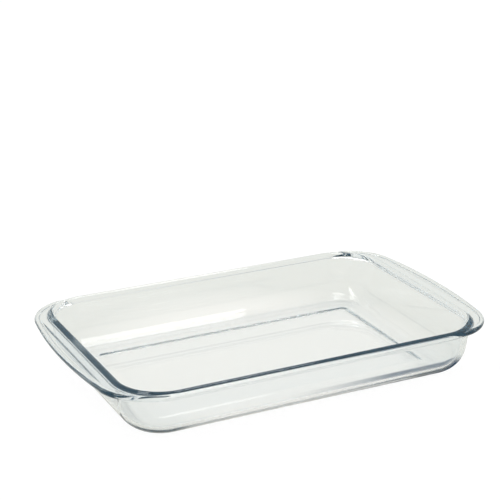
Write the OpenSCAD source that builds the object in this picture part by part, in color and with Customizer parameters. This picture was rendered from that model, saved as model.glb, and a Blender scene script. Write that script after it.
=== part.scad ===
// Oblong glass baking dish with a wing handle at each end, pressed in one piece of clear glass.
// Lengths are in millimetres and angles in degrees.
// The origin is the middle of the base, where the dish stands: x runs along the dish, z upwards.

/* [Overall size] */
// Length over the two handles
dish_length = 400; // [360:1:460]
// Width over the two long rims
dish_width = 244; // [210:1:290]
// Height from the table to the top of the rim
dish_height = 49.5; // [46:0.5:70]

/* [Walls and floor] */
// Thickness of the walls
wall_thickness = 5; // [4:0.1:6]
// Lean of the walls away from upright
wall_lean = 8; // [4:0.5:11]
// Plan radius of the rim's outer face at the corners of the opening
corner_radius = 45.7; // [42:0.1:60]
// Thickness of the floor inside the foot
floor_thickness = 5.5; // [4.5:0.1:8]
// Radius of the outer curve from wall to base
base_curve = 26.5; // [20:0.5:30]
// Radius of the inner curve from wall to floor
floor_curve = 18; // [12:0.5:20]
// Width of the flat foot that the dish stands on, along the two ends
foot_width = 8; // [4:0.5:14]
// Width of the foot along the two long sides
foot_side = 12.5; // [6:0.5:18]
// Height of the foot, which is the depth of the shallow recess inside it
foot_height = 1; // [0.4:0.1:1.5]
// Width of the slope from the foot up to the recess
foot_slope = 3; // [1:0.5:4]

/* [Rim] */
// Diameter of the rounded bead round the opening
rim_bead = 7.2; // [6.4:0.1:8.4]
// Radius of the hollow under the bead, where it runs into the wall
rim_hollow = 3; // [1.5:0.1:4.5]

/* [Handles] */
// How far a handle stands out past the rim bead, at the middle of the dish
handle_reach = 19.5; // [17:0.5:30]
// Thickness of a handle's plate
handle_thickness = 4.4; // [3.6:0.1:5]
// Diameter of the rounded edge round a handle
handle_edge = 5.4; // [5.2:0.1:6]
// How much larger in radius this edge is at its two turns than along its runs
handle_edge_step = 0.1; // [0.08:0.01:0.15]
// How far each run of the edge goes on inside the turn beside it
handle_edge_lap = 2; // [1:0.1:2.5]
// Plan radius of the bowed outer edge of a handle
handle_bow = 532; // [380:0.1:900]
// Plan radius where a handle's outer edge turns into the long rim
handle_corner = 47.5; // [42:0.1:54]
// How far a handle's edge lies inside the face of the long rim where it grows out of it
handle_setback = 0.4; // [0.3:0.05:0.8]

/* [Hidden] */
$fn = 144;
glass_tint = [0.83, 0.90, 0.89];
bow_fn = 720;
edge_fn = 48;
plan_steps = 10;

// Heights
bead_radius = rim_bead / 2;
bead_z = dish_height - bead_radius;
floor_z = foot_height + floor_thickness;
plate_under_z = bead_z - handle_thickness / 2;

// The section of the wall stands in a plane through a corner's upright axis.
// There x is the distance from the axis and y is the height. The wall's direction
// upwards is [sin, cos] of its lean, and the direction out of its face is [cos, -sin].
up_x = sin(wall_lean);
up_z = cos(wall_lean);
out_x = cos(wall_lean);
out_z = -sin(wall_lean);

// Middle of the bead, and the wall's two faces at its height: the inner face touches the bead
bead_x = corner_radius - bead_radius;
inner_x = bead_x - bead_radius / out_x;
outer_x = inner_x + wall_thickness / out_x;

// Middle of the outer curve, which touches the wall's outer face and the table
base_x = outer_x - (base_curve + (bead_z - base_curve) * up_x) / out_x;

// Middle of the inner curve, which touches the wall's inner face and the floor
floor_mid_z = floor_z + floor_curve;
floor_x = inner_x - (floor_curve + (bead_z - floor_mid_z) * up_x) / out_x;

// Middle of the hollow under the bead, which touches the bead and the wall's outer face
hollow_out = rim_hollow + wall_thickness - bead_radius;
hollow_down = sqrt(pow(bead_radius + rim_hollow, 2) - pow(hollow_out, 2));
hollow_root = rim_hollow + wall_thickness / 2;
hollow_x = bead_x + hollow_out * out_x - hollow_down * up_x;
hollow_z = bead_z + hollow_out * out_z - hollow_down * up_z;

// Upright axes of the four corners, from the rim's outer faces
axis_x = dish_length / 2 - handle_reach - corner_radius;
axis_y = dish_width / 2 - corner_radius;

// Half the length and half the width of the recess, at the table
recess_half_x = axis_x + base_x - foot_width;
recess_half_y = axis_y + base_x - foot_side;
recess_overrun = 1;

// Plan of a handle: a wide bow and two corners, which run straight on into the long rims.
// The middle line of its rounded edge lies inside this outline by the edge's own radius.
edge_radius = handle_edge / 2;
handle_half = dish_width / 2 - handle_setback;
bow_x = dish_length / 2 - handle_bow;
turn_y = handle_half - handle_corner;
turn_x = bow_x + sqrt(pow(handle_bow - handle_corner, 2) - pow(turn_y, 2));
bow_angle = asin(turn_y / (handle_bow - handle_corner));
bow_mid = handle_bow - edge_radius;
turn_mid = handle_corner - edge_radius;
half_mid = handle_half - edge_radius;
turn_edge_radius = edge_radius + handle_edge_step;
lap_angle = asin(handle_edge_lap / bow_mid);

// Glass below and behind the outer face of the wall
module outer_side() {
    polygon([
        [0, 0],
        [base_x, 0],
        [base_x + base_curve * out_x, base_curve + base_curve * out_z],
        [outer_x, bead_z],
        [bead_x, bead_z],
        [bead_x - bead_radius * out_x, bead_z - bead_radius * out_z],
        [0, bead_z - bead_radius * out_z]
    ]);
    intersection() {
        translate([base_x, base_curve])
            circle(r = base_curve);
        translate([base_x, 0])
            square([base_curve, base_curve]);
    }
}

// The space that holds the food, up to the top of the rim
module inner_space() {
    polygon([
        [0, floor_z],
        [floor_x, floor_z],
        [floor_x + floor_curve * out_x, floor_mid_z + floor_curve * out_z],
        [inner_x + bead_radius * up_x / up_z, dish_height],
        [0, dish_height]
    ]);
    intersection() {
        translate([floor_x, floor_mid_z])
            circle(r = floor_curve);
        translate([floor_x, floor_z])
            square([floor_curve, floor_curve]);
    }
}

// Section of floor, wall, bead and the hollow under the bead
module wall_section() {
    difference() {
        outer_side();
        inner_space();
    }
    translate([bead_x, bead_z])
        circle(r = bead_radius);
    difference() {
        polygon([
            [bead_x, bead_z],
            [hollow_x, hollow_z],
            [hollow_x - hollow_root * out_x, hollow_z - hollow_root * out_z]
        ]);
        translate([hollow_x, hollow_z])
            circle(r = rim_hollow);
    }
}

// Carries a section round one corner
module round_corner() {
    translate([axis_x, axis_y, 0])
        rotate_extrude(angle = 90)
            children();
}

// Carries a section along the end wall between two corners
module along_end() {
    translate([axis_x, axis_y, 0])
        rotate([90, 0, 0])
            linear_extrude(height = 2 * axis_y)
                children();
}

// Carries a section along the long wall between two corners
module along_side() {
    translate([-axis_x, axis_y, 0])
        rotate([90, 0, 90])
            linear_extrude(height = 2 * axis_x)
                children();
}

// The dish without its handles: the section swept round, and the middle of the floor
module basin() {
    for (left = [0, 1])
        mirror([left, 0, 0]) {
            along_end() wall_section();
            for (front = [0, 1])
                mirror([0, front, 0])
                    round_corner() wall_section();
        }
    for (front = [0, 1])
        mirror([0, front, 0])
            along_side() wall_section();
    translate([-axis_x, -axis_y, 0])
        cube([2 * axis_x, 2 * axis_y, floor_z]);
}

// The recess from side to side, with its two slopes, and its overrun below the table
module recess_section(half) {
    polygon([
        [-half, -recess_overrun],
        [half, -recess_overrun],
        [half, 0],
        [half - foot_slope, foot_height],
        [foot_slope - half, foot_height],
        [-half, 0]
    ]);
}

// The shallow recess inside the foot, which slopes down to the foot on all four sides
module recess() {
    intersection() {
        rotate([90, 0, 0])
            linear_extrude(height = dish_width, center = true)
                recess_section(recess_half_x);
        rotate([90, 0, 90])
            linear_extrude(height = dish_length, center = true)
                recess_section(recess_half_y);
    }
}

// Plan of the handle at the right-hand end, out to the middle line of its rounded edge
module handle_plan() {
    bow_points = [
        for (i = [-plan_steps : plan_steps])
            let (a = bow_angle * i / plan_steps)
            [bow_x + bow_mid * cos(a), bow_mid * sin(a)]
    ];
    turn_points = [
        for (i = [1 : plan_steps])
            let (a = bow_angle + (90 - bow_angle) * i / plan_steps)
            [turn_x + turn_mid * cos(a), turn_y + turn_mid * sin(a)]
    ];
    turn_back_points = [
        for (i = [plan_steps : -1 : 1])
            [turn_points[i - 1][0], -turn_points[i - 1][1]]
    ];
    run_points = [[axis_x, half_mid], [axis_x, -half_mid]];
    polygon(concat(bow_points, turn_points, run_points, turn_back_points));
}

// Plan of the plate: the handle's plan less the opening, which reaches to the middle of the bead
module plate_plan() {
    difference() {
        handle_plan();
        for (side = [-1, 1])
            translate([axis_x, side * axis_y])
                circle(r = bead_x);
        translate([0, -axis_y])
            square([axis_x + bead_x, 2 * axis_y]);
    }
}

// Rounded edge of the handle: the two turns, and the bow and the straight runs into the long
// rims, which are a hair thinner and end inside the turns, so that no two faces just touch
module handle_rim() {
    translate([bow_x, 0, bead_z])
        rotate_extrude(angle = 2 * (bow_angle + lap_angle), start = -bow_angle - lap_angle, $fn = bow_fn)
            translate([bow_mid, 0])
                circle(r = edge_radius, $fn = edge_fn);
    for (front = [0, 1])
        mirror([0, front, 0]) {
            translate([turn_x, turn_y, bead_z])
                rotate_extrude(angle = 90 - bow_angle, start = bow_angle)
                    translate([turn_mid, 0])
                        circle(r = turn_edge_radius, $fn = edge_fn);
            translate([axis_x, half_mid, bead_z])
                rotate([0, 90, 0])
                    cylinder(h = turn_x + handle_edge_lap - axis_x, r = edge_radius, $fn = edge_fn);
        }
}

// The handle at the right-hand end
module handle() {
    translate([0, 0, plate_under_z])
        linear_extrude(height = handle_thickness)
            plate_plan();
    handle_rim();
}

// The whole dish, which is one piece of glass
module baking_dish() {
    color(glass_tint) {
        difference() {
            basin();
            recess();
        }
        for (left = [0, 1])
            mirror([left, 0, 0])
                handle();
    }
}

baking_dish();
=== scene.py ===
"""Clear glass baking dish with a wing handle at each end, on a pale table top."""

from math import cos, pi, radians, sin

import bpy
from bpy.props import FloatProperty, FloatVectorProperty, PointerProperty
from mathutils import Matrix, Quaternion, Vector


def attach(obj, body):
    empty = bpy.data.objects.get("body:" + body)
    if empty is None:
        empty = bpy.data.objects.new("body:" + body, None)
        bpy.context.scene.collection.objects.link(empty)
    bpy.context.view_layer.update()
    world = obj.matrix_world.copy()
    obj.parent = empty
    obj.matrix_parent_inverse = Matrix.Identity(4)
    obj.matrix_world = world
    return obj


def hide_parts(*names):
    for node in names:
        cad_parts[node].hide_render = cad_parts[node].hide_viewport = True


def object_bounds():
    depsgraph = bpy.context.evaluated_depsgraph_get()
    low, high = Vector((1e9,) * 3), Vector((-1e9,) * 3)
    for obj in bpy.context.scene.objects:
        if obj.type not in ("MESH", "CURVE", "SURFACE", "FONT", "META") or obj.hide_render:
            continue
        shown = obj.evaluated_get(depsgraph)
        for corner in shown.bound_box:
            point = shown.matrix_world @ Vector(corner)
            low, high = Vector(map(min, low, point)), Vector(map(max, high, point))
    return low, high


bl_info = {
    "name": "Glass Baking Dish",
    "version": (1, 0, 0),
    "blender": (4, 5, 0),
    "location": "3D View > Sidebar > Baking Dish",
    "description": "Builds a clear glass baking dish with wing handles, and its table top and light",
    "category": "Object",
}

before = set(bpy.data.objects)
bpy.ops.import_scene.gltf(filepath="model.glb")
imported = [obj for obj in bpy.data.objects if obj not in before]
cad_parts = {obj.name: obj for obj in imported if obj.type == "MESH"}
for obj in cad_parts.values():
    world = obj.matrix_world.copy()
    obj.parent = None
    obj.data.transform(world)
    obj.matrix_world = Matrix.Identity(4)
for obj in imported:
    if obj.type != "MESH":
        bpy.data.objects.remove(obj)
CAD_LOW, CAD_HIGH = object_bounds()
MM = 0.001
QUARTER = pi / 2
WHITE = (1.0, 1.0, 1.0, 1.0)

# The dish's sizes: name, default in metres or radians, and what it measures
SIZES = (
    ("Length", CAD_HIGH.x - CAD_LOW.x, "Length over the two handles"),
    ("Width", CAD_HIGH.y - CAD_LOW.y, "Width over the two long rims"),
    ("Height", CAD_HIGH.z - CAD_LOW.z, "Height from the table to the top of the rim"),
    ("Wall", 5 * MM, "Thickness of the walls"),
    ("Lean", radians(8), "Lean of the walls away from upright"),
    ("Corner", 45.7 * MM, "Plan radius of the rim's outer face at the corners"),
    ("Floor", 5.5 * MM, "Thickness of the floor inside the foot"),
    ("Base Curve", 26.5 * MM, "Radius of the outer curve from wall to base"),
    ("Floor Curve", 18 * MM, "Radius of the inner curve from wall to floor"),
    ("Foot Width", 8 * MM, "Width of the flat foot along the two ends"),
    ("Foot Side", 12.5 * MM, "Width of the foot along the two long sides"),
    ("Foot Height", 1 * MM, "Depth of the shallow recess inside the foot"),
    ("Foot Slope", 9 * MM, "Width of the soft step from the foot up to the recess"),
    ("Foot Step", 0.85 * MM, "Height of this step"),
    ("Bead", 7.2 * MM, "Diameter of the rounded bead round the opening"),
    ("Bead Hollow", 3 * MM, "Radius of the hollow under the bead"),
    ("Reach", 19.5 * MM, "How far a handle stands out past the bead"),
    ("Plate", 4.4 * MM, "Thickness of a handle's plate"),
    ("Edge", 5.4 * MM, "Diameter of the rounded edge round a handle"),
    ("Bow", 532 * MM, "Plan radius of a handle's outer edge"),
    ("Turn", 47.5 * MM, "Plan radius where a handle turns into the long rim"),
    ("Setback", 0.4 * MM, "How far a handle's edge lies inside the long rim"),
    ("Top Hollow", 4 * MM, "Radius of the hollow between the bead and a handle's top"),
    ("Edge Hollow", 3 * MM, "Radius of the hollow between a handle's plate and its edge"),
    ("Under Hollow", 5 * MM, "Radius of the hollow between a handle's underside and the wall"),
    ("Grip Inset", 7 * MM, "Width of a handle's flat beside the rim, up to its thinner grip"),
    ("Grip Depth", 0.8 * MM, "How much thinner the grip is"),
    ("Grip Curve", 1.5 * MM, "Radius of the two arcs of the step down to the grip"),
)

# Over this width the step down to the grip grows from nothing, towards the middle of a handle
GRIP_TAPER = 4 * MM

# Narrow level rings, which keep the shading of the flat floor and of the flat recess even
FLOOR_LEAD = 3 * MM
RECESS_LEAD = 1 * MM

# Points that lie closer than this, in metres, are joined. It also keeps a division from zero.
TINY = 1e-6

# Steps round a corner, along half an end wall and along a long wall, and all of them
CORNER_STEPS = 32
END_STEPS = 20
LONG_STEPS = 12
ROUND_STEPS = 4 * CORNER_STEPS + 4 * END_STEPS + 2 * LONG_STEPS

# Steps across the flat of the foot
FOOT_STEPS = 4

# Painted light that the foot lets out: where it starts and is full, out from the dish's middle
# towards its long sides, and where it ends and is still full towards its ends
PAINTED_LEAK_SIDE = (72 * MM, 77 * MM)
PAINTED_LEAK_END = (125 * MM, 108.3 * MM)

# Patchy noise leaves at least this share of that painted light, and adds up to this much more
PAINTED_LEAK_LEAST = 0.6
PAINTED_LEAK_MORE = 0.8

# The table: its width, how far it lies under the foot, its own grey in the light that falls on
# it, and the glow that makes it show as white with that light
TABLE_WIDTH = 12.0
TABLE_GAP = 0.2 * MM
TABLE_GREY = (0.12, 0.12, 0.12, 1.0)
TABLE_GLOW = 0.905

# What the glass sees of the table, by the distance from its middle in metres
TABLE_STOPS = (
    (0.0, (0.87, 0.85, 0.79, 1.0)),
    (0.13, (0.86, 0.84, 0.78, 1.0)),
    (0.2, (0.70, 0.70, 0.64, 1.0)),
    (0.9, (0.685, 0.68, 0.625, 1.0)),
)

# What the glass sees of the room, by the sine of the height above the horizon
ROOM_STOPS = (
    (0.235, (0.80, 0.81, 0.77, 1.0)),
    (0.262, (0.06, 0.10, 0.14, 1.0)),
    (0.305, (0.06, 0.10, 0.14, 1.0)),
    (0.335, (0.80, 0.81, 0.77, 1.0)),
    (0.9, (0.90, 0.88, 0.83, 1.0)),
)

# The shade that the glass sees on the table along the front foot: how far the foot's edge lies
# from the dish's middle line, where the shade starts and is full from that edge outwards, how far
# out it reaches and how wide its soft outer border is
SHADE_COLOUR = (0.0, 0.02, 0.06, 1.0)
FOOT_EDGE = 90.3 * MM
SHADE_UNDER = (-7 * MM, -3 * MM)
SHADE_REACH = 14.5 * MM
SHADE_SOFT = 5.56 * MM

# Along the dish, between which places the shade fades in and out, and from where on it reaches
# further, by this share of the way, to run round the foot's corner
SHADE_START = (-50 * MM, 92.9 * MM)
SHADE_END = (205 * MM, 165 * MM)
SHADE_CORNER = 130 * MM
SHADE_SPREAD = 0.2

# The light boxes over the table: name, middle, turn about the upright, and size, in metres
LIGHT_BOXES = (
    ("light_box_right", (0.41, 0.345, 1.2), 0.0, (0.34, 0.81)),
    ("light_box_left", (-0.40, 0.17, 1.2), radians(52.8), (1.5, 0.20)),
)

# How bright a light box looks, where 1 is white
LIGHT_BOX_GLOW = 3.5

# The camera: the point it looks at in metres, its lens and its sensor in millimetres
CAMERA_AIM = (-0.01006, 0.0, 0.11539)
CAMERA_LENS = 105.77
CAMERA_SENSOR = 36.0


class Term:
    """A number in a node tree. Arithmetic on it adds Math nodes."""

    def __init__(self, nodes, socket):
        self.nodes = nodes
        self.socket = socket

    def math(self, operation, *values):
        return self.nodes.add("ShaderNodeMath", {"operation": operation}, values)

    def __add__(self, other):
        return self.math("ADD", self, other)

    def __radd__(self, other):
        return self.math("ADD", other, self)

    def __sub__(self, other):
        return self.math("SUBTRACT", self, other)

    def __rsub__(self, other):
        return self.math("SUBTRACT", other, self)

    def __mul__(self, other):
        return self.math("MULTIPLY", self, other)

    def __rmul__(self, other):
        return self.math("MULTIPLY", other, self)

    def __truediv__(self, other):
        return self.math("DIVIDE", self, other)

    def __rtruediv__(self, other):
        return self.math("DIVIDE", other, self)

    def __neg__(self):
        return self.math("MULTIPLY", self, -1.0)

    def sin(self):
        return self.math("SINE", self)

    def cos(self):
        return self.math("COSINE", self)

    def arc_sin(self):
        return self.math("ARCSINE", self)

    def arc_cos(self):
        return self.math("ARCCOSINE", self)

    def arc_tan(self):
        return self.math("ARCTANGENT", self)

    def root(self):
        return self.math("SQRT", self)

    def floor(self):
        return self.math("FLOOR", self)

    def size(self):
        return self.math("ABSOLUTE", self)

    def at_least(self, other):
        return self.math("MAXIMUM", self, other)

    def at_most(self, other):
        return self.math("MINIMUM", self, other)

    def over(self, other):
        """1 where this number is the greater one, and 0 elsewhere."""
        return self.math("GREATER_THAN", self, other)

    def share(self):
        """This number, held between 0 and 1."""
        return self.at_least(0.0).at_most(1.0)


class Nodes:
    """Adds nodes to a tree and links what they are given."""

    def __init__(self, tree):
        self.tree = tree

    def put(self, value, socket):
        """Links a term to a socket, or sets the socket to a plain value."""
        if isinstance(value, Term):
            self.tree.links.new(value.socket, socket)
        else:
            socket.default_value = value

    def add(self, kind, settings=None, values=(), output=0):
        """A node's output, or several, after its settings are made and its sockets are filled."""
        node = self.tree.nodes.new(kind)
        for name, value in (settings or {}).items():
            if name == "stops":
                set_stops(node.color_ramp.elements, value)
            else:
                setattr(node, name, value)
        pairs = values.items() if isinstance(values, dict) else enumerate(values)
        for name, value in pairs:
            self.put(value, node.inputs[name])
        if isinstance(output, tuple):
            return [Term(self, node.outputs[name]) for name in output]
        return Term(self, node.outputs[output]) if node.outputs else None


def set_stops(stops, wanted):
    """Sets a colour ramp's stops. A new ramp has two, and further ones are added."""
    for number, (position, colour) in enumerate(wanted):
        stop = stops[number] if number < len(stops) else stops.new(position)
        stop.position = position
        stop.color = colour


def emptied(holder):
    """The nodes of a new material or world, with none in them yet."""
    holder.use_nodes = True
    holder.node_tree.nodes.clear()
    return Nodes(holder.node_tree)


def mix(low, high, share):
    """Goes from low to high as share goes from 0 to 1."""
    return low + (high - low) * share


def fade(value, start, full):
    """Goes from 0 to 1 as value goes from start to full."""
    return ((value - start) / (full - start)).share()


def sine(angle):
    """The sine of a term or of a plain number."""
    return angle.sin() if isinstance(angle, Term) else sin(angle)


def cosine(angle):
    """The cosine of a term or of a plain number."""
    return angle.cos() if isinstance(angle, Term) else cos(angle)


class Path:
    """A line of tangent arcs and straights, walked by a counter that a node tree holds."""

    def __init__(self, counter, first, heading=0.0):
        self.counter = counter
        self.first = first
        self.heading = heading
        self.across = 0.0
        self.up = 0.0

    def part(self, steps):
        """How much of the next leg the counter has passed, from 0 to 1."""
        start = float(self.first)
        self.first += steps
        return fade(self.counter, start, float(self.first))

    def straight(self, length, steps):
        """A straight run on the present heading."""
        run = self.part(steps) * length
        self.across = self.across + run * cosine(self.heading)
        self.up = self.up + run * sine(self.heading)
        return self

    def left(self, radius, angle, steps):
        """An arc that turns left by an angle."""
        start = self.heading
        turned = self.part(steps) * angle + start
        self.across = self.across + (turned.sin() - sine(start)) * radius
        self.up = self.up + (cosine(start) - turned.cos()) * radius
        self.heading = start + angle
        return self

    def right(self, radius, angle, steps):
        """An arc that turns right by an angle."""
        return self.left(-radius, -angle, steps)


class Form:
    """The dish's sizes as a node tree holds them, and the lines that are drawn from them.

    The wall's section stands in an upright plane through the axis of a corner. Its places are
    the distance from that axis and the height. Along the walls, the axis moves in a straight
    line from corner to corner.
    """

    def __init__(self, given):
        self.given = given
        self.axis_x = given["Length"] / 2.0 - given["Reach"] - given["Corner"]
        self.axis_y = given["Width"] / 2.0 - given["Corner"]

        # The wall's direction upwards, and its turn from there to level
        lean = given["Lean"]
        self.up_x, self.up_z = lean.sin(), lean.cos()
        self.level = QUARTER - lean

        # Middle of the bead, and the wall's two faces at its height: the inner face touches it
        self.bead = given["Bead"] / 2.0
        bead_x = given["Corner"] - self.bead
        bead_z = given["Height"] - self.bead
        inner_x = bead_x - self.bead / self.up_z
        self.outer_x = inner_x + given["Wall"] / self.up_z
        self.bead_middle = (bead_x, bead_z)

        # Middle of the inner curve, which touches the wall's inner face and the floor
        curve = given["Floor Curve"]
        self.floor_z = given["Foot Height"] + given["Floor"]
        height = self.floor_z + curve
        floor_x = inner_x - (curve + (bead_z - height) * self.up_x) / self.up_z
        self.floor_middle = (floor_x, height)

        # Middle of the outer curve, which touches the wall's outer face and the table
        curve = given["Base Curve"]
        base_x = self.outer_x - (curve + (bead_z - curve) * self.up_x) / self.up_z
        self.base_middle = (base_x, curve)

        # Hollow between the bead and a handle's top: its run outwards, and the turn down the bead
        top_hollow = given["Top Hollow"]
        self.plate = given["Plate"] / 2.0
        span = self.bead + top_hollow
        rise = self.plate + top_hollow
        self.top_run = (span * span - rise * rise).root()
        self.top_turn = QUARTER - (rise / span).arc_sin()

        # Hollow between a handle's plate and its edge, and the least run outwards for both hollows
        self.edge = given["Edge"] / 2.0
        self.edge_span = self.edge + given["Edge Hollow"]
        self.edge_turn = ((self.plate + given["Edge Hollow"]) / self.edge_span).arc_cos()
        self.edge_run = self.edge_turn.sin() * self.edge_span
        self.least = self.top_run + self.edge_run

    def up_wall(self, low, high):
        """Length of the wall between two places, measured along its lean."""
        return (high[0] - low[0]) * self.up_x + (high[1] - low[1]) * self.up_z

    def corner_line(self, around):
        """Place of the section's axis, and the heading out of the wall there.

        The walk starts at the middle of the right-hand end, and turns left at each corner.
        """
        legs = (
            ("y", self.axis_y, END_STEPS),
            ("heading", QUARTER, CORNER_STEPS),
            ("x", self.axis_x * -2.0, LONG_STEPS),
            ("heading", QUARTER, CORNER_STEPS),
            ("y", self.axis_y * -2.0, 2 * END_STEPS),
            ("heading", QUARTER, CORNER_STEPS),
            ("x", self.axis_x * 2.0, LONG_STEPS),
            ("heading", QUARTER, CORNER_STEPS),
            ("y", self.axis_y, END_STEPS),
        )
        at = {"x": self.axis_x, "y": 0.0, "heading": 0.0}
        walk = Path(around, 0)
        for what, amount, steps in legs:
            at[what] = walk.part(steps) * amount + at[what]
        return at["x"], at["y"], at["heading"]

    def handle_reach(self, axis_x, axis_y, out_x, out_y):
        """How far the handle's outline lies from the section's axis, folded into one quarter.

        The outline is a wide bow, a turn that touches it, and a line beside the long rim.
        """
        axis_x, axis_y = axis_x.size(), axis_y.size()
        out_x, out_y = out_x.size(), out_y.size()
        given = self.given
        bow, turn = given["Bow"], given["Turn"]
        half = given["Width"] / 2.0 - given["Setback"]
        bow_x = given["Length"] / 2.0 - bow
        turn_y = half - turn
        arm = bow - turn
        turn_x = bow_x + (arm * arm - turn_y * turn_y).root()

        def to_circle(middle_x, middle_y, radius):
            """How far a line from the section's axis runs until it leaves a circle."""
            from_x, from_y = axis_x - middle_x, axis_y - middle_y
            near = out_x * from_x + out_y * from_y
            inside = radius * radius + near * near - from_x * from_x - from_y * from_y
            return inside.at_least(0.0).root() - near

        to_bow = to_circle(bow_x, 0.0, bow)
        to_turn = to_circle(turn_x, turn_y, turn)
        to_line = (half - axis_y) / out_y.at_least(TINY)
        on_line = turn_x.over(axis_x + out_x * to_line)
        on_bow = (turn_y / arm * bow).over(axis_y + out_y * to_bow)
        return mix(mix(to_turn, to_line, on_line), to_bow, on_bow)

    def inner_side(self, along, first):
        """From the flat floor up the wall's inner face and over the top of the bead."""
        path = Path(along, first)
        path.straight(FLOOR_LEAD, steps=3)
        path.left(self.given["Floor Curve"], self.level, steps=44)
        path.straight(self.up_wall(self.floor_middle, self.bead_middle), steps=12)
        return path.right(self.bead, self.level + self.top_turn, steps=26)

    def plain_side(self, along, first):
        """From the bead's top round it and down the wall's outer face, where there is no handle."""
        hollow = self.given["Bead Hollow"]
        span = self.bead + hollow
        turn = ((hollow + self.given["Wall"] - self.bead) / span).arc_cos()
        path = Path(along, first, -self.top_turn)
        path.right(self.bead, QUARTER - self.top_turn, steps=45)
        path.right(self.bead, self.given["Lean"] + turn, steps=35)
        path.left(hollow, turn, steps=10)
        run = self.up_wall(self.base_middle, self.bead_middle) - turn.sin() * span
        return path.straight(run, steps=14)

    def handle_side(self, along, first, wide):
        """From the bead's top over a handle, round its edge, back under it and down the wall.

        The top of the plate steps down to a thinner grip, and this step tapers away towards both
        ends of a handle. The line has as many points as the one without a handle.
        """
        given = self.given
        edge_hollow, under, curve = given["Edge Hollow"], given["Under Hollow"], given["Grip Curve"]
        room = wide - self.least
        flat = room.at_most(given["Grip Inset"])
        taper = ((room - flat) / GRIP_TAPER).share()
        drop = given["Grip Depth"] * taper * taper
        step_turn = (1.0 - drop / (curve * 2.0)).arc_cos()
        grip_turn = ((self.plate - drop + edge_hollow) / self.edge_span).arc_cos()
        grip_run = curve * step_turn.sin() * 2.0 + grip_turn.sin() * self.edge_span
        path = Path(along, first, -self.top_turn)
        path.left(given["Top Hollow"], self.top_turn, steps=10).straight(flat, steps=4)
        path.right(curve, step_turn, steps=4).left(curve, step_turn, steps=4)
        path.straight(wide - self.top_run - flat - grip_run, steps=4)
        path.left(edge_hollow, grip_turn, steps=5)
        path.right(self.edge, grip_turn + self.edge_turn + pi, steps=36)
        path.left(edge_hollow, self.edge_turn, steps=5)

        # Middle of the hollow that touches the plate's underside and the wall's outer face
        bead_x, bead_z = self.bead_middle
        under_z = bead_z - self.plate - under
        under_x = self.outer_x - (bead_z - under_z) * self.up_x / self.up_z + under / self.up_z
        path.straight(bead_x + wide - self.edge_run - under_x, steps=8)
        path.left(under, self.level, steps=10)
        return path.straight(self.up_wall(self.base_middle, (under_x, under_z)), steps=14)

    def under_side(self, along, first):
        """From the wall over the outer curve, the flat foot and its soft step to the flat recess.

        Also gives by how much the line of axes grows along x and y. Across the flat foot it moves
        over to the recess's own corners, because the foot is wider at the sides than at the ends.
        """
        given = self.given
        path = Path(along, first, -QUARTER - given["Lean"])
        path.right(given["Base Curve"], self.level, steps=44)

        # Two arcs make the step: each turns by twice the step's own slope
        run, rise = given["Foot Slope"], given["Foot Step"]
        turn = (rise / run).arc_tan() * 2.0
        radius = (rise * rise + run * run) / (rise * 4.0)
        flat = self.base_middle[0] - run - RECESS_LEAD
        moved = Path(along, path.first).part(FOOT_STEPS)
        grow_x = moved * (flat - given["Foot Width"]) / self.axis_x + 1.0
        grow_y = moved * (flat - given["Foot Side"]) / self.axis_y + 1.0

        # The heading is level here, and a plain number keeps the flats free of rounding
        path.heading = -pi
        path.straight(flat, FOOT_STEPS)
        path.right(radius, turn, steps=8).left(radius, turn, steps=8)
        path.heading = -pi
        path.straight(RECESS_LEAD, steps=3)
        return path, grow_x, grow_y


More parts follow.
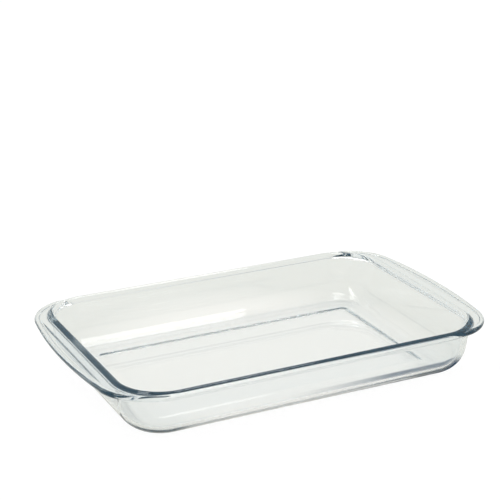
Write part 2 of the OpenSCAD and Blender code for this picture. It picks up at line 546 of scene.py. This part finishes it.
def dish_tree():
    """Geometry nodes that carry the wall's section round the opening, with the handles in it."""
    tree = bpy.data.node_groups.new("Pressed Dish", "GeometryNodeTree")
    face = tree.interface
    for name, default, about in SIZES:
        item = face.new_socket(name, in_out="INPUT", socket_type="NodeSocketFloat")
        item.default_value = default
        item.description = about
    face.new_socket("Glass", in_out="INPUT", socket_type="NodeSocketMaterial")
    face.new_socket("Geometry", in_out="OUTPUT", socket_type="NodeSocketGeometry")
    nodes = Nodes(tree)
    names = (*(name for name, _, _ in SIZES), "Glass")
    given = dict(zip(names, nodes.add("NodeGroupInput", output=names)))
    form = Form(given)

    # The counters: round the opening, and along the section. The number of points in a section
    # is set further down, when all its lines are drawn.
    index = nodes.add("GeometryNodeInputIndex")
    section_points = nodes.add("ShaderNodeValue")
    around = ((index + 0.5) / section_points).floor()
    along = index - around * section_points
    axis_x, axis_y, heading = form.corner_line(around)
    out_x, out_y = heading.cos(), heading.sin()

    # How far a handle stands out here, at least with room for its hollows, and how much of the
    # handle there is: across it grows evenly, and in height with a soft start and end
    reach = form.handle_reach(axis_x, axis_y, out_x, out_y)
    spread = reach - form.edge - form.bead_middle[0]
    grown = fade(spread, form.bead - form.edge, form.least)
    raised = grown * grown * (3.0 - grown * 2.0)

    # The section, from the middle of the floor, over the rim and down to the middle of the base
    inner = form.inner_side(along, 1)
    plain = form.plain_side(along, inner.first)
    handle = form.handle_side(along, inner.first, spread.at_least(form.least))
    if plain.first != handle.first:
        raise RuntimeError("the two rim sections differ in their number of points")
    under, grow_x, grow_y = form.under_side(along, plain.first)
    points = under.first + 1
    section_points.socket.default_value = float(points)
    across = form.floor_middle[0] - FLOOR_LEAD + inner.across
    across = across + mix(plain.across, handle.across, grown) + under.across
    height = form.floor_z + inner.up + mix(plain.up, handle.up, raised) + under.up

    # The first and last points of every section meet in the middle of the floor and of the base
    off_middle = along.over(0.5) * (points - 1.5 - along).over(0.0)
    place = nodes.add("ShaderNodeCombineXYZ", None, [
        (axis_x * grow_x + out_x * across) * off_middle,
        (axis_y * grow_y + out_y * across) * off_middle,
        height,
    ])
    counts = {"Vertices X": ROUND_STEPS + 1, "Vertices Y": points}
    grid = nodes.add("GeometryNodeMeshGrid", None, counts)
    placed = {"Geometry": grid, "Position": place}
    formed = nodes.add("GeometryNodeSetPosition", None, placed)
    joined = {"Geometry": formed, "Distance": TINY}
    closed = nodes.add("GeometryNodeMergeByDistance", None, joined)
    outward = nodes.add("GeometryNodeFlipFaces", None, {"Mesh": closed})
    shading = {"Geometry": outward, "Shade Smooth": True}
    smooth = nodes.add("GeometryNodeSetShadeSmooth", None, shading)
    whole = nodes.add("GeometryNodeRealizeInstances", None, {"Geometry": smooth})
    glazed = {"Geometry": whole, "Material": given["Glass"]}
    done = nodes.add("GeometryNodeSetMaterial", None, glazed)
    nodes.add("NodeGroupOutput", None, {"Geometry": done})
    return tree


def painted_foot_light(nodes, place, look):
    """Painted light: the share of the light caught inside the floor that the foot lets out, in
    patches, at its long sides.

    It stands in for light that clear glass carries out of the floor after many turns, and lightens
    the dark line along the foot's edge. Light counts as caught from its second turn on. What comes
    straight in or out passes the foot as through clean glass, so this draws no ring of its own.
    """
    x, y, z = nodes.add("ShaderNodeSeparateXYZ", None, [place], ("X", "Y", "Z"))
    ray_depth = nodes.add("ShaderNodeLightPath", output="Ray Depth")
    noise = {"Vector": place, "Scale": 400.0, "Detail": 3.0}
    leak_patches = nodes.add("ShaderNodeTexNoise", {"noise_dimensions": "3D"}, noise)
    low = fade(z, look.painted_leak_height, 0.0)
    beside = fade(y.size(), *PAINTED_LEAK_SIDE) * fade(x.size(), *PAINTED_LEAK_END)
    caught = (ray_depth - 1.0).share()
    patchy_leak = (leak_patches * PAINTED_LEAK_MORE + PAINTED_LEAK_LEAST).share()
    return low * beside * look.painted_leak * caught * patchy_leak


def clear_glass(look):
    """Clear pressed glass: polished, a little wavy from the mould, and blue-grey in its depth."""
    material = bpy.data.materials.new("Clear Glass")
    nodes = emptied(material)
    place = nodes.add("ShaderNodeTexCoord", output="Object")
    noise = {"Vector": place, "Scale": 28.0, "Detail": 1.0}
    waves = nodes.add("ShaderNodeTexNoise", {"noise_dimensions": "3D"}, noise)
    relief = {"Strength": 0.25, "Distance": look.unevenness, "Height": waves}
    bump = nodes.add("ShaderNodeBump", None, relief)
    body = nodes.add("ShaderNodeBsdfPrincipled", None, {
        "Base Color": WHITE,
        "Roughness": 0.0,
        "IOR": 1.5,
        "Transmission Weight": 1.0,
        "Normal": bump,
    })
    haze = nodes.add("ShaderNodeBsdfDiffuse", None, {"Color": (*look.haze_colour, 1.0)})
    clear = nodes.add("ShaderNodeMixShader", None, [look.haze, body, haze])
    open_way = nodes.add("ShaderNodeBsdfTransparent", None, {"Color": WHITE})
    # Painted light: the foot lets out, in patches, some of the light caught inside the floor
    leaky = painted_foot_light(nodes, place, look)
    surface = nodes.add("ShaderNodeMixShader", None, [leaky, clear, open_way])
    tint = {"Color": (*look.glass_colour, 1.0), "Density": look.depth}
    volume = nodes.add("ShaderNodeVolumeAbsorption", None, tint)
    nodes.add("ShaderNodeOutputMaterial", None, {"Surface": surface, "Volume": volume})
    return material


def property_name(size_name):
    return size_name.lower().replace(" ", "_")


def size_property(name, default, about):
    """A length, or an angle for the walls' lean."""
    subtype, unit = ("ANGLE", "ROTATION") if name == "Lean" else ("DISTANCE", "LENGTH")
    return FloatProperty(
        name=name, description=about, default=default, subtype=subtype, unit=unit, precision=4)


class BakingDishSizes(bpy.types.PropertyGroup):
    """Sizes of the dish, one property for each row of the table of sizes."""

    __annotations__ = {property_name(row[0]): size_property(*row) for row in SIZES}


class BakingDishLook(bpy.types.PropertyGroup):
    """The glass's colours, the painted light that its foot lets out, and the camera's place."""

    glass_colour: FloatVectorProperty(
        name="Glass Colour", description="Colour that a great depth of the glass takes on",
        default=(0.72, 0.86, 0.93), size=3, min=0.0, max=1.0, subtype="COLOR")
    depth: FloatProperty(
        name="Depth", description="How fast the glass takes on this colour, for each metre",
        default=6.0, min=0.0)
    haze: FloatProperty(
        name="Haze", description="Share of the light that each face of the glass scatters",
        default=0.025, min=0.0, max=1.0, subtype="FACTOR")
    haze_colour: FloatVectorProperty(
        name="Haze Colour", description="Colour of this scattered light",
        default=(0.14, 0.60, 1.0), size=3, min=0.0, max=1.0, subtype="COLOR")
    # Painted light: how much of the light caught in the floor the foot lets out, and how high up
    painted_leak: FloatProperty(
        name="Foot Leak",
        description="Share of the light caught inside the floor that the worn foot lets out",
        default=0.5, min=0.0, max=1.0, subtype="FACTOR")
    painted_leak_height: FloatProperty(
        name="Leak Height", description="How far up from the table this leak reaches",
        default=1.2 * MM, min=0.1 * MM, subtype="DISTANCE", unit="LENGTH", precision=4)
    unevenness: FloatProperty(
        name="Unevenness", description="Depth of the soft waves that pressing leaves",
        default=0.06 * MM, subtype="DISTANCE", unit="LENGTH", precision=5)
    camera_azimuth: FloatProperty(
        name="Camera Azimuth", description="Angle round the dish that the camera looks from",
        default=radians(-26.8), subtype="ANGLE", unit="ROTATION")
    camera_elevation: FloatProperty(
        name="Camera Elevation", description="Angle above the table that the camera looks from",
        default=radians(19.98), subtype="ANGLE", unit="ROTATION")
    camera_distance: FloatProperty(
        name="Camera Distance", description="Distance from the camera to the point it looks at",
        default=1.36, subtype="DISTANCE", unit="LENGTH")
    camera_roll: FloatProperty(
        name="Camera Roll", description="Turn of the camera about its line of sight",
        default=radians(0.157), subtype="ANGLE", unit="ROTATION")


class OBJECT_OT_baking_dish(bpy.types.Operator):
    """Press the dish: floor, walls, rim and both handles in one piece of glass"""

    bl_idname = "object.baking_dish"
    bl_label = "Baking Dish"

    def execute(self, context):
        scene = context.scene
        sizes = scene.baking_dish_sizes
        mesh = bpy.data.meshes.new("glass_dish_form")
        former = bpy.data.objects.new("glass_dish_form", mesh)
        scene.collection.objects.link(former)
        modifier = former.modifiers.new("Pressed Dish", "NODES")
        tree = dish_tree()
        modifier.node_group = tree
        inputs = (item for item in tree.interface.items_tree if item.in_out == "INPUT")
        sockets = {item.name: item.identifier for item in inputs}
        for name, _, _ in SIZES:
            modifier[sockets[name]] = getattr(sizes, property_name(name))
        modifier[sockets["Glass"]] = clear_glass(scene.baking_dish_look)
        graph = context.evaluated_depsgraph_get()
        formed = bpy.data.meshes.new_from_object(former.evaluated_get(graph))
        if not formed.polygons:
            raise RuntimeError("the dish came out empty")
        former.modifiers.clear()
        bpy.data.objects.remove(former)
        bpy.data.meshes.remove(mesh)
        formed.name = "glass_dish"
        dish = bpy.data.objects.new("glass_dish", formed)
        scene.collection.objects.link(dish)
        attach(dish, "root")
        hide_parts("baking_dish")
        return {"FINISHED"}


class SCENE_OT_table_and_light(bpy.types.Operator):
    """Set the pale table top, the soft light and the camera"""

    bl_idname = "scene.table_and_light"
    bl_label = "Table and Light"

    def execute(self, context):
        scene = context.scene
        table_top()
        soft_light(scene)
        for box in LIGHT_BOXES:
            light_box(scene, *box)
        camera(scene, scene.baking_dish_look)
        scene.view_settings.view_transform = "Standard"
        return {"FINISHED"}


def front_shade(x, y):
    """How dark the table lies in shade, in a strip along the right half of the front foot."""
    gap = -y - FOOT_EDGE
    reach = (x - SHADE_CORNER).at_least(0.0) * SHADE_SPREAD + SHADE_REACH
    across = fade(gap, *SHADE_UNDER) * fade(gap - reach, 0.0, -SHADE_SOFT)
    along = fade(x, *SHADE_START) * fade(x, *SHADE_END)
    return across * along * along


def table_top():
    """A wide table that shows pure white. The glass sees it paler near the dish than further off."""
    bpy.ops.mesh.primitive_plane_add(size=TABLE_WIDTH, location=(0.0, 0.0, -TABLE_GAP))
    table = bpy.context.object
    table.name = "table_top"
    material = bpy.data.materials.new("Table Top")
    nodes = emptied(material)
    place = nodes.add("ShaderNodeTexCoord", output="Object")
    x, y = nodes.add("ShaderNodeSeparateXYZ", None, [place], ("X", "Y"))
    away = (x * x + y * y).root()
    pale = nodes.add("ShaderNodeValToRGB", {"stops": TABLE_STOPS}, [away])
    colours = {"Factor": front_shade(x, y), "A": pale, "B": SHADE_COLOUR}
    shaded = nodes.add("ShaderNodeMix", {"data_type": "RGBA"}, colours, "Result")
    kinds = ("Is Camera Ray", "Is Glossy Ray", "Is Transmission Ray")
    camera_ray, glossy_ray, glass_ray = nodes.add("ShaderNodeLightPath", output=kinds)
    shown = {"Color": WHITE, "Strength": camera_ray * TABLE_GLOW}
    seen = {"Color": shaded, "Strength": glossy_ray.at_least(glass_ray)}
    lit = nodes.add("ShaderNodeBsdfDiffuse", None, {"Color": TABLE_GREY})
    glow = nodes.add("ShaderNodeAddShader", None, [
        nodes.add("ShaderNodeEmission", None, shown),
        nodes.add("ShaderNodeEmission", None, seen),
    ])
    surface = nodes.add("ShaderNodeAddShader", None, [lit, glow])
    nodes.add("ShaderNodeOutputMaterial", None, {"Surface": surface})
    table.data.materials.append(material)


def soft_light(scene):
    """Even white light from all round. The glass sees a pale room with a narrow dark belt."""
    world = bpy.data.worlds.new("Soft Light")
    scene.world = world
    nodes = emptied(world)
    direction = nodes.add("ShaderNodeTexCoord", output="Generated")
    height = nodes.add("ShaderNodeSeparateXYZ", None, [direction], "Z")
    room = nodes.add("ShaderNodeValToRGB", {"stops": ROOM_STOPS}, [height])
    kinds = ("Is Glossy Ray", "Is Transmission Ray")
    glossy_ray, glass_ray = nodes.add("ShaderNodeLightPath", output=kinds)
    light = nodes.add("ShaderNodeBackground", None, {"Color": WHITE, "Strength": 1.0})
    seen = nodes.add("ShaderNodeBackground", None, {"Color": room, "Strength": 1.0})
    sky = nodes.add("ShaderNodeMixShader", None, [glossy_ray.at_least(glass_ray), light, seen])
    nodes.add("ShaderNodeOutputWorld", None, {"Surface": sky})


def light_box(scene, name, middle, turn, size):
    """A soft box over the table, which faces straight down."""
    data = bpy.data.lights.new(name, "AREA")
    data.shape = "RECTANGLE"
    data.size, data.size_y = size
    data.energy = LIGHT_BOX_GLOW * pi * data.size * data.size_y
    lamp = bpy.data.objects.new(name, data)
    scene.collection.objects.link(lamp)
    lamp.location = middle
    lamp.rotation_euler = (0.0, 0.0, turn)


def camera(scene, look):
    """The photograph's view: from the front left, looking down at about twenty degrees."""
    data = bpy.data.cameras.new("camera")
    data.sensor_width = CAMERA_SENSOR
    data.lens = CAMERA_LENS
    view = bpy.data.objects.new("camera", data)
    scene.collection.objects.link(view)
    scene.camera = view
    azimuth, elevation = look.camera_azimuth, look.camera_elevation
    level = cos(elevation)
    back = Vector((sin(azimuth) * level, -cos(azimuth) * level, sin(elevation)))
    view.location = Vector(CAMERA_AIM) + back * look.camera_distance
    turn = (-back).to_track_quat("-Z", "Y") @ Quaternion((0.0, 0.0, 1.0), look.camera_roll)
    view.rotation_euler = turn.to_euler()


class VIEW3D_PT_baking_dish(bpy.types.Panel):
    """Sizes, looks and the two makers"""

    bl_label = "Baking Dish"
    bl_space_type = "VIEW_3D"
    bl_region_type = "UI"
    bl_category = "Baking Dish"

    def draw(self, context):
        layout = self.layout
        layout.use_property_split = True
        for group in (context.scene.baking_dish_sizes, context.scene.baking_dish_look):
            for name in group.__annotations__:
                layout.prop(group, name)
        layout.operator(OBJECT_OT_baking_dish.bl_idname)
        layout.operator(SCENE_OT_table_and_light.bl_idname)


CLASSES = (
    BakingDishSizes,
    BakingDishLook,
    OBJECT_OT_baking_dish,
    SCENE_OT_table_and_light,
    VIEW3D_PT_baking_dish,
)


def register():
    for item in CLASSES:
        bpy.utils.register_class(item)
    bpy.types.Scene.baking_dish_sizes = PointerProperty(type=BakingDishSizes)
    bpy.types.Scene.baking_dish_look = PointerProperty(type=BakingDishLook)


def unregister():
    del bpy.types.Scene.baking_dish_look
    del bpy.types.Scene.baking_dish_sizes
    for item in reversed(CLASSES):
        bpy.utils.unregister_class(item)


def main():
    register()
    bpy.ops.object.baking_dish()
    bpy.ops.scene.table_and_light()


if __name__ == "__main__":
    main()
